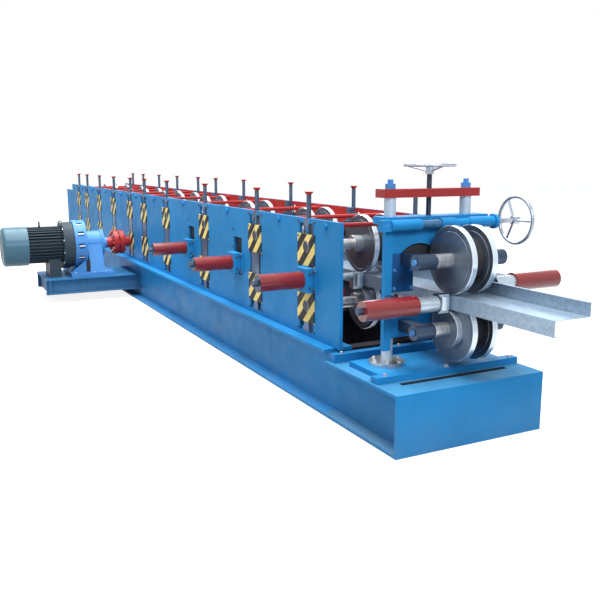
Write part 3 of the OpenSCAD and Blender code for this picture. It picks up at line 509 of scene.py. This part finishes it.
def discRows(y0, y1, inner0, inner1):
    c = rollLook["chamfer"]
    g = rollLook["groove"]
    return [(y0, inner0, 1), (y0, 0.150, 1), (y0 + g, 0.152, 1), (y0 + g, 0.160, 1), (y0, 0.162, 1),
            (y0, rimRadius - c, 1), (y0 + c, rimRadius, 0), (y0 + rimWidth / 2, rimRadius, 0),
            (y1 - c, rimRadius, 0),
            (y1, rimRadius - c, 1), (y1, 0.162, 1), (y1 - g, 0.160, 1), (y1 - g, 0.152, 1), (y1, 0.150, 1),
            (y1, inner1, 1)]


def rollRows(near, far, shaft, shaftLow, shaftHigh, sleeve, sleeveLow, sleeveHigh, collarSide, collarRadius):
    c = 0.0015
    rows = [(shaftLow, 0.0, 4), (shaftLow, shaft - c, 4), (shaftLow + c, shaft, 2), (sleeveLow, shaft, 2),
            (sleeveLow, sleeve - c, 2), (sleeveLow + c, sleeve, 2)]
    if collarSide == "near":
        rows += [(near - rimWidth, sleeve, 2), (near - rimWidth, collarRadius - c, 1),
                 (near - rimWidth + c, collarRadius, 0), (near, collarRadius, 0)]
        rows += discRows(near, near + rimWidth, collarRadius, drumRadius)
    else:
        rows += [(near, sleeve, 2)]
        rows += discRows(near, near + rimWidth, sleeve, drumRadius)
    if collarSide == "far":
        rows += [(far - rimWidth, drumRadius, 3)]
        rows += discRows(far - rimWidth, far, drumRadius, collarRadius)
        rows += [(far + rimWidth - c, collarRadius, 0), (far + rimWidth, collarRadius - c, 1),
                 (far + rimWidth, sleeve, 1)]
    else:
        rows += [(far - rimWidth, drumRadius, 3)]
        rows += discRows(far - rimWidth, far, drumRadius, sleeve)
    rows += [(sleeveHigh - c, sleeve, 2), (sleeveHigh, sleeve - c, 2), (sleeveHigh, shaft, 2),
             (shaftHigh - c, shaft, 4), (shaftHigh, shaft - c, 4), (shaftHigh, 0.0, 4)]
    clean = [rows[0]]
    for row in rows[1:]:
        if abs(row[0] - clean[-1][0]) + abs(row[1] - clean[-1][1]) > 1e-6:
            clean.append(row)
    return clean


rollMaterials = [rimPaintedHighlight, rollFace, sleeveSteel, drumSteel, shaftEnd]


def buildRolls():
    look, stand = rollLook, standRollLook
    for kind, axisZ, near, far, side, collar in (
            ("lower", lowerZ, -0.008, 0.190, "near", 0.100), ("upper", upperZ, -0.030, 0.168, "far", 0.1105)):
        for index, x in enumerate(stationXs):
            node = kind + "_roll_" + str(index + 1)
            rows = rollRows(near, far, look["shaft"], -look["shaftEnd"], look["shaftEnd"], look["sleeve"],
                            near - look["sleeveOut"], far + look["sleeveOut"], side, collar)
            segments = look["segments"] if index < look["nearStations"] else look["farSegments"]
            piece = turnedPiece(node + "_turned", kind + "_" + str(index + 1), x, axisZ, rows, rollMaterials,
                                segments)
            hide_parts(node)
        rows = rollRows(near, far - stand["narrow"], stand["shaft"], stand["shaftLow"], stand["shaftHigh"],
                        stand["sleeve"], stand["sleeveLow"], stand["sleeveHigh"], side, collar)
        piece = turnedPiece("stand_" + kind + "_turned", "stand_" + kind, standRollX, axisZ, rows,
                            rollMaterials, stand["segments"])
        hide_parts("stand_" + kind + "_roll")


buildRolls()
say("rolls")


# Slot covers, their stripes mapped from each cover's middle
coverLook = {"width": 0.220, "height": 0.195, "thickness": 0.005, "drop": 0.020, "hole": 0.039,
             "segments": 48}


def coverInto(mesh, layer, x, z, shaftZ, side):
    count = coverLook["segments"]
    y = side * plateY
    turn = Matrix.Rotation(math.radians(90), 4, "X")
    inner = bmesh.ops.create_circle(mesh, segments=count, radius=coverLook["hole"],
                                    matrix=Matrix.Translation((x, y, shaftZ)) @ turn)["verts"]
    outer = bmesh.ops.create_circle(mesh, segments=count, radius=1.0,
                                    matrix=Matrix.Translation((x, y, shaftZ)) @ turn)["verts"]
    halfW = coverLook["width"] / 2
    halfH = coverLook["height"] / 2
    for vert in outer:
        dx = vert.co.x - x
        dz = vert.co.z - shaftZ
        scale = 1 / max(abs(dx) / halfW, abs(dz) / halfH)
        vert.co.x = x + dx * scale
        vert.co.z = z + dz * scale
    for dx in (-1, 1):
        for dz in (-1, 1):
            corner = Vector((x + dx * halfW, y, z + dz * halfH))
            nearest = min(outer, key=lambda v: (v.co - corner).length)
            nearest.co = corner
    rings = [e for v in inner + outer for e in v.link_edges]
    faces = bmesh.ops.bridge_loops(mesh, edges=list(set(rings)))["faces"]
    raised = bmesh.ops.extrude_face_region(mesh, geom=faces)["geom"]
    moved = [g for g in raised if isinstance(g, bmesh.types.BMVert)]
    bmesh.ops.translate(mesh, vec=(0, side * coverLook["thickness"], 0), verts=moved)
    every = {f for v in inner + outer + moved for f in v.link_faces}
    for face in every:
        for loop in face.loops:
            loop[layer].uv = (loop.vert.co.x - x, loop.vert.co.z - z)


def buildCovers():
    mesh = bmesh.new()
    layer = mesh.loops.layers.uv.new("cover")
    for side in (-1, 1):
        for x in stationXs:
            coverInto(mesh, layer, x, lowerZ, lowerZ, side)
            coverInto(mesh, layer, x, upperZ - coverLook["drop"], upperZ, side)
    covers = finishMesh(mesh, "striped_covers", "frame", [materials["striped_cover"]], smooth=False)
    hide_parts("slot_covers")


buildCovers()
say("covers")


# Strip: one sheet folded further at each station, then the finished profile
stripLook = {"step": 0.04, "fold": 0.003, "thickness": 0.0025, "webZ": 0.772, "nearBend": -0.0275,
             "farBend": 0.190, "nearFlange": 0.073, "farFlange": 0.070, "nearLip": 0.0143, "farLip": 0.0167}
bendAngles = [90, 86, 80, 72, 62, 50, 38, 25, 12, 2]
lipAngles = [90, 90, 90, 90, 90, 80, 60, 35, 15, 2]


def angleAt(x, angles):
    if x >= stationXs[0]:
        return math.radians(angles[0])
    for index in range(len(stationXs) - 1):
        near, far = stationXs[index], stationXs[index + 1]
        if x >= far:
            share = (near - x) / (near - far)
            return math.radians(angles[index] * (1 - share) + angles[index + 1] * share)
    return math.radians(angles[-1])


def sectionPoint(x, place):
    look = stripLook
    bend = angleAt(x, bendAngles)
    lip = bend + angleAt(x, lipAngles)
    side, y, flange, lipWidth = (
        (-1, look["nearBend"], look["nearFlange"], look["nearLip"]) if place < 3 else
        (1, look["farBend"], look["farFlange"], look["farLip"]))
    z = look["webZ"]
    if place not in (2, 3):
        y += side * flange * math.cos(bend)
        z += side * flange * math.sin(bend)
    if place in (0, 5):
        y += side * lipWidth * math.cos(lip)
        z += side * lipWidth * math.sin(lip)
    return y, z


def buildStrip():
    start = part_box("forming_strip")[0][0]
    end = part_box("formed_profile")[1][0]
    count = round((end - start) / stripLook["step"])
    mesh = bmesh.new()
    grid = bmesh.ops.create_grid(mesh, x_segments=count, y_segments=5, size=0.5)["verts"]
    for vert in grid:
        x = start + (vert.co.x + 0.5) * (end - start)
        place = round((vert.co.y + 0.5) * 5)
        y, z = sectionPoint(x, place)
        vert.co = Vector((x, y, z))
    folds = [e for e in mesh.edges if len(e.link_faces) == 2 and abs(e.verts[0].co.x - e.verts[1].co.x) > 0.01
             and e.calc_face_angle(0) > math.radians(1)]
    bmesh.ops.bevel(mesh, geom=folds, offset=stripLook["fold"], segments=3, affect="EDGES", profile=0.5,
                    material=-1)
    bmesh.ops.recalc_face_normals(mesh, faces=mesh.faces)
    webMiddle = Vector((0, 0.08, stripLook["webZ"]))
    middle = min(mesh.faces, key=lambda f: (f.calc_center_median() - webMiddle).length)
    if middle.normal.z > 0:
        bmesh.ops.reverse_faces(mesh, faces=mesh.faces)
    bmesh.ops.solidify(mesh, geom=mesh.faces[:], thickness=stripLook["thickness"])
    strip = finishMesh(mesh, "strip_and_profile", "frame", [materials["galvanised"]])
    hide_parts("forming_strip", "formed_profile")


buildStrip()
say("strip")


# Bolts and nuts: half the width across each head, in metres
boltLook = {"plate": 0.008, "foot": 0.011, "flange": 0.010, "block": 0.012, "cover": 0.0055, "coupling": 0.0085,
            "ring": 0.0115, "pedestal": 0.009, "adjuster": 0.014}

# Places of the bolts and studs on the side plates, from each station's middle
plateBoltLook = {"beside": 0.106, "top": 1.112, "bottom": 0.438, "middle": {-1: 0.700, 1: 0.830},
                 "coverX": 0.096, "coverZ": 0.084,
                 "stud": 0.009, "studIn": 0.012, "sideStud": 0.006, "sideStudX": 0.052, "sideStudIn": 0.016,
                 "studZ": 1.036, "studLength": 0.066, "nut": 0.0165, "nutZ": 1.048, "nutLength": 0.016}

# Places of the bolts on the side roll brackets, from each bracket's middle
bracketBoltLook = {"footX": 0.086, "footZ": 0.056, "footOut": 0.014, "cheekX": 0.0705, "cheekZ": 0.042,
                   "cheekOut": 0.038, "windowX": 0.092, "windowZs": (0.11, 0.24)}
bracketDistances = (1.060, 2.209, 3.264)


def bracketZ(number, side):
    if number == 0:
        return 0.7633
    return 0.8095 if side > 0 else 0.733


def stationBolts(mesh, x, side):
    look = plateBoltLook
    face = side * plateY
    out = (0, side, 0)
    for way in (-1, 1):
        for z in (look["top"], look["bottom"], look["middle"][way]):
            boltInto(mesh, (x + way * look["beside"], face, z), out, boltLook["plate"])
    for middleZ in (lowerZ, upperZ - coverLook["drop"]):
        for wayX in (-1, 1):
            for wayZ in (-1, 1):
                seat = (x + wayX * look["coverX"], face + side * coverLook["thickness"],
                        middleZ + wayZ * look["coverZ"])
                boltInto(mesh, seat, out, boltLook["cover"])
    studY = side * (plateY - look["studIn"])
    coneInto(mesh, (x, studY, look["studZ"]), (0, 0, 1), look["stud"], look["stud"], look["studLength"], 20, 1)
    coneInto(mesh, (x, studY, look["nutZ"]), (0, 0, 1), look["nut"], look["nut"], look["nutLength"], 6, 1)
    for way in (-1, 1):
        foot = (x + way * look["sideStudX"], side * (plateY - look["sideStudIn"]), look["studZ"])
        coneInto(mesh, foot, (0, 0, 1), look["sideStud"], look["sideStud"], look["studLength"], 12)


def bracketBolts(mesh, number, x, side):
    look = bracketBoltLook
    z = bracketZ(number, side)
    footY = side * (plateY + look["footOut"])
    cheekY = side * (plateY + look["cheekOut"])
    for wayX in (-1, 1):
        for wayZ in (-1, 1):
            seat = (x + wayX * look["footX"], footY, z + wayZ * look["footZ"])
            boltInto(mesh, seat, (0, side, 0), boltLook["foot"])
    for wayZ in (-1, 1):
        for wayX in (1, -1):
            seat = (x + wayX * look["cheekX"], cheekY, z + wayZ * look["cheekZ"])
            boltInto(mesh, seat, (wayX, 0, 0), boltLook["plate"])
    if number:
        for dz in look["windowZs"]:
            boltInto(mesh, (x - look["windowX"], side * plateY, z + dz), (0, side, 0), boltLook["plate"])


def buildPlateBolts():
    mesh = bmesh.new()
    for side in (-1, 1):
        for x in stationXs:
            stationBolts(mesh, x, side)
    for number, distance in enumerate(bracketDistances):
        for side in (-1, 1):
            bracketBolts(mesh, number, baseLength / 2 - distance, side)
    bolts = finishMesh(mesh, "plate_bolts", "frame", [boltSteel, materials["light_blue_paint"]])


# Bolts round the column feet and along the two guide bars of the stand
standBoltLook = {"columnX": 4.460, "columnY": 0.255, "circle": 0.078, "footTop": 0.385,
                 "frontBar": (4.664, 0.367, (-0.40, 0.0, 0.45)), "rearBar": (4.210, 0.383, (-0.40, 0.0, 0.40))}


def buildStandBolts():
    look = standBoltLook
    mesh = bmesh.new()
    for side in (-1, 1):
        for step in range(6):
            angle = math.radians(60 * step + 30)
            seat = (look["columnX"] + look["circle"] * math.cos(angle),
                    side * look["columnY"] + look["circle"] * math.sin(angle), look["footTop"])
            boltInto(mesh, seat, (0, 0, 1), boltLook["block"])
    for x, z, ys in (look["frontBar"], look["rearBar"]):
        for y in ys:
            boltInto(mesh, (x, y, z), (0, 0, 1), boltLook["block"])
    zinc = finishMesh(mesh, "stand_bolts", "frame", [boltZinc])


# Bolts round the motor's rim, through the reducer's ring and at its feet
driveBoltLook = {"rimCircle": 0.249, "rimY": -1.178, "footX": 0.24, "footYs": (-0.76, -1.08), "footZ": 0.304,
                 "ringCircle": 0.246, "ringY": -1.035, "rod": 0.0075, "rodLength": 0.062, "headIn": 0.014}


def buildDriveBolts():
    look = driveBoltLook
    mesh = bmesh.new()
    for step in range(12):
        angle = math.radians(30 * step + 15)
        seat = (driveX + look["rimCircle"] * math.cos(angle), look["rimY"],
                lowerZ + look["rimCircle"] * math.sin(angle))
        boltInto(mesh, seat, (0, -1, 0), boltLook["coupling"])
    for way in (-1, 1):
        for y in look["footYs"]:
            boltInto(mesh, (driveX + way * look["footX"], y, look["footZ"]), (0, 0, 1), boltLook["block"])
    for step in range(12):
        angle = math.radians(30 * step)
        x = driveX + look["ringCircle"] * math.cos(angle)
        z = lowerZ - look["ringCircle"] * math.sin(angle)
        coneInto(mesh, (x, look["ringY"], z), (0, 1, 0), look["rod"], look["rod"], look["rodLength"], 16)
        boltInto(mesh, (x, look["ringY"] + look["headIn"], z), (0, -1, 0), boltLook["ring"], 0, False)
    drive = finishMesh(mesh, "drive_bolts", "frame", [boltZinc])


buildPlateBolts()
buildStandBolts()
buildDriveBolts()
say("bolts")


# A navy backing plate in the arch of the stand, a near-black panel above it as painted shade at the top of the
# arch, and the bolt of the adjuster's block
archLook = {"front": 4.5085, "thickness": 0.006, "low": (-0.2735, 0.775), "high": (-0.130, 0.985), "edge": 0.001,
            "boltYs": (-0.255, -0.145), "boltZs": (0.795, 0.895),
            "shadeX": (4.4860, 4.4925), "shadeLow": (-0.215, 0.895), "shadeHigh": (0.085, 1.045),
            "adjusterBolt": (4.5548, -0.341, 1.140)}


def buildArchPlate():
    look = archLook
    mesh = bmesh.new()
    face = look["front"] + look["thickness"]
    boxInto(mesh, (look["front"], *look["low"]), (face, *look["high"]), 0, look["edge"])
    for y in look["boltYs"]:
        for z in look["boltZs"]:
            boltInto(mesh, (face, y, z), (1, 0, 0), boltLook["flange"], 1)
    # near-black panel: painted shade filling the top of the arch
    back, front = look["shadeX"]
    boxInto(mesh, (back, *look["shadeLow"]), (front, *look["shadeHigh"]), 2, look["edge"])
    boltInto(mesh, look["adjusterBolt"], (1, 0, 0), boltLook["adjuster"], 1)
    plate = finishMesh(mesh, "arch_backing_plate_and_shade_panel", "frame", [navyPaint, materials["light_blue_paint"], paintedShadeBlack])


# Gussets beside the reducer's pedestal, with a near-black box in the slot between them and its web as painted
# shade
gussetLook = {"foot": 0.3035, "web": (0.212, 0.228), "webY": (-1.116, -0.962), "webHeight": 0.128, "toe": 0.008,
              "slot": (0.205, 0.210), "slotY": (-0.966, -0.917), "slotHeight": 0.124,
              "boltX": 0.247, "boltYs": (-0.885, -0.805), "boltZ": 0.304}


def buildGussets():
    look = gussetLook
    mesh = bmesh.new()
    foot = look["foot"]
    for side in (-1, 1):
        low, high = sorted(driveX + side * x for x in look["web"])
        before = set(mesh.verts)
        boxInto(mesh, (low, look["webY"][0], foot), (high, look["webY"][1], foot + look["webHeight"]), 0)
        for vert in set(mesh.verts) - before:
            if vert.co.z > foot + look["webHeight"] / 2 and vert.co.y < sum(look["webY"]) / 2:
                vert.co.z = foot + look["toe"]
        # near-black box in the slot beside each gusset: painted shade
        low, high = sorted(driveX + side * x for x in look["slot"])
        boxInto(mesh, (low, look["slotY"][0], foot), (high, look["slotY"][1], foot + look["slotHeight"]), 1)
    for side in (-1, 1):
        for y in look["boltYs"]:
            boltInto(mesh, (driveX + side * look["boltX"], y, look["boltZ"]), (0, 0, 1), boltLook["pedestal"], 2)
    finishes = [materials["light_blue_paint"], paintedShadeBlack, boltZinc]
    gussets = finishMesh(mesh, "reducer_gussets_and_slot_shade", "frame", finishes, False)


# Near-black plates behind the upper part of the windows in the side plates: painted shade in the windows
windowShadeLook = {"halfWidth": 0.085, "inner": 0.380, "outer": 0.391, "bottom": 0.06, "top": 0.195, "edge": 0.001}


def buildWindowShades():
    look = windowShadeLook
    mesh = bmesh.new()
    for number in (1, 2):
        x = baseLength / 2 - bracketDistances[number]
        for side in (-1, 1):
            z = bracketZ(number, side)
            low, high = sorted((side * look["inner"], side * look["outer"]))
            boxInto(mesh, (x - look["halfWidth"], low, z + look["bottom"]),
                    (x + look["halfWidth"], high, z + look["top"]), 0, look["edge"])
    windowShades = finishMesh(mesh, "window_shade_plates", "frame", [paintedShadeBlack])


buildArchPlate()
buildGussets()
buildWindowShades()
say("plates and gussets")


# Faces of a CAD node that take another finish or painted shade, chosen by place and direction
def recolour(node, chooser, extra):
    item = frame["nodes"][node]
    first = len(item.data.materials)
    for material in extra:
        item.data.materials.append(material)
    for polygon in item.data.polygons:
        index = chooser(polygon.center, polygon.normal)
        if index is not None:
            polygon.material_index = first + index


def refinish(node, material):
    frame["nodes"][node].data.materials[0] = material


def between(value, limits):
    return limits[0] < value < limits[1]


# Where the nodes change their finish or take painted shade, in metres
finishLook = {"screwTop": 1.2735, "screwHead": 1.275, "deckSlot": (4.722, 4.764), "deckSlotEnd": 0.36,
              "beamInside": 0.40, "memberLow": 0.02, "entryFace": -4.8, "grille": (-1.770, -1.60),
              "spindle": (-0.1205, 0.0105), "tubeEnd": 0.7615, "bracketEnd": 0.471,
              "unitEnds": (-0.572, 0.732), "unitSleeve": (-0.2461, 0.4061), "unitFork": (-0.137, 0.297),
              "unitRolls": (-0.0631, 0.2231), "unitRollRadius": 0.0345,
              "columnFoot": 0.3855, "headFront": 4.523, "headPlate": 1.10, "bearingEnds": (-0.2545, 0.3305)}


def screwFinish(centre, normal):
    if centre.z > finishLook["screwHead"]:
        return 1
    return 0 if centre.z <= finishLook["screwTop"] and abs(normal.z) < 0.5 else None


# Walls of the deck's slot near black as painted shade in the slot; the deck's tops in dusty paint
def deckShadeAndDust(centre, normal):
    inSlot = between(centre.x, finishLook["deckSlot"]) and abs(centre.y) < finishLook["deckSlotEnd"]
    if inSlot and abs(normal.z) < 0.5:
        return 0
    return 1 if normal.z > 0.9 else None


# Cross members inside the frame, past the entry face, near black: painted shade under the rolls
def memberShade(centre, normal):
    return 0 if centre.z > finishLook["memberLow"] and centre.x > finishLook["entryFace"] else None


# Inner faces of the base beams near black: painted shade inside the frame
def beamInsideShade(centre, normal):
    side = 1 if centre.y > 0 else -1
    return 0 if side * normal.y < -0.5 and side * centre.y < finishLook["beamInside"] else None


# Face of the fan cowl's grille near black: painted shade behind its openings
def grilleShade(centre, normal):
    return 0 if normal.y < -0.9 and between(centre.y, finishLook["grille"]) else None


def adjusterFinish(centre, normal):
    return 0 if between(centre.y, finishLook["spindle"]) and abs(normal.y) < 0.5 else None


def tubeFinish(centre, normal):
    if abs(centre.y) > finishLook["tubeEnd"]:
        return 0
    return 1 if abs(centre.y) < finishLook["bracketEnd"] else None


def unitFinish(centre, normal):
    if not between(centre.y, finishLook["unitEnds"]):
        return 0
    for rollY in finishLook["unitRolls"]:
        away = math.hypot(centre.x - standRollX, centre.y - rollY)
        if abs(normal.z) < 0.3 and away < finishLook["unitRollRadius"]:
            return 1
    if between(centre.y, finishLook["unitFork"]):
        return 0
    return 1 if between(centre.y, finishLook["unitSleeve"]) else None


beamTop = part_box("cross_beam")[1][2]


def columnFinish(centre, normal):
    if centre.z > beamTop + 0.0005:
        return 0
    return 1 if centre.z < finishLook["columnFoot"] else None


def headFinish(centre, normal):
    return 0 if centre.x > finishLook["headFront"] and centre.z < finishLook["headPlate"] else None


def bearingFinish(centre, normal):
    return None if between(centre.y, finishLook["bearingEnds"]) else 0


def tieFinish(centre, normal):
    outside = abs(centre.y) > plateY + 0.0005
    endFace = abs(centre.y) > plateY - 0.001 and abs(normal.y) > 0.9
    return 0 if outside or endFace else None


refinish("motor_platform", shadedPlatformPaint)
refinish("side_tubes", tubePaint)
refinish("stand_side_units", tubePaint)
refinish("stand_columns", columnPaintedReflection)
recolour("adjusting_screws", screwFinish, [screwThread, redInside])
recolour("lifting_screw", lambda centre, normal: 0 if abs(normal.z) < 0.5 else None, [liftThread])
recolour("exit_section", deckShadeAndDust, [paintedShadeBlack, dustyPaint])
recolour("fan_cowl", grilleShade, [paintedShadeBlack])
recolour("cross_members", memberShade, [paintedShadeBlack])
recolour("base_beams", beamInsideShade, [paintedShadeBlack])
recolour("side_adjuster", adjusterFinish, [spindleThread])
recolour("far_side_plate", lambda centre, normal: 0 if normal.y < -0.9 else None, [redInside])
recolour("near_side_plate", lambda centre, normal: 0 if normal.y > 0.9 else None, [redInside])
recolour("side_tubes", tubeFinish, [materials["dark_steel"], materials["bright_steel"]])
recolour("stand_side_units", unitFinish, [materials["dark_steel"], materials["bright_steel"]])
recolour("stand_columns", columnFinish, [materials["light_blue_paint"], boltZinc])
recolour("stand_head", headFinish, [materials["dark_steel"]])
recolour("stand_bearings", bearingFinish, [materials["light_blue_paint"]])
recolour("tie_bars", tieFinish, [materials["blue_paint"]])
say("second finishes")

bpy.context.view_layer.update()
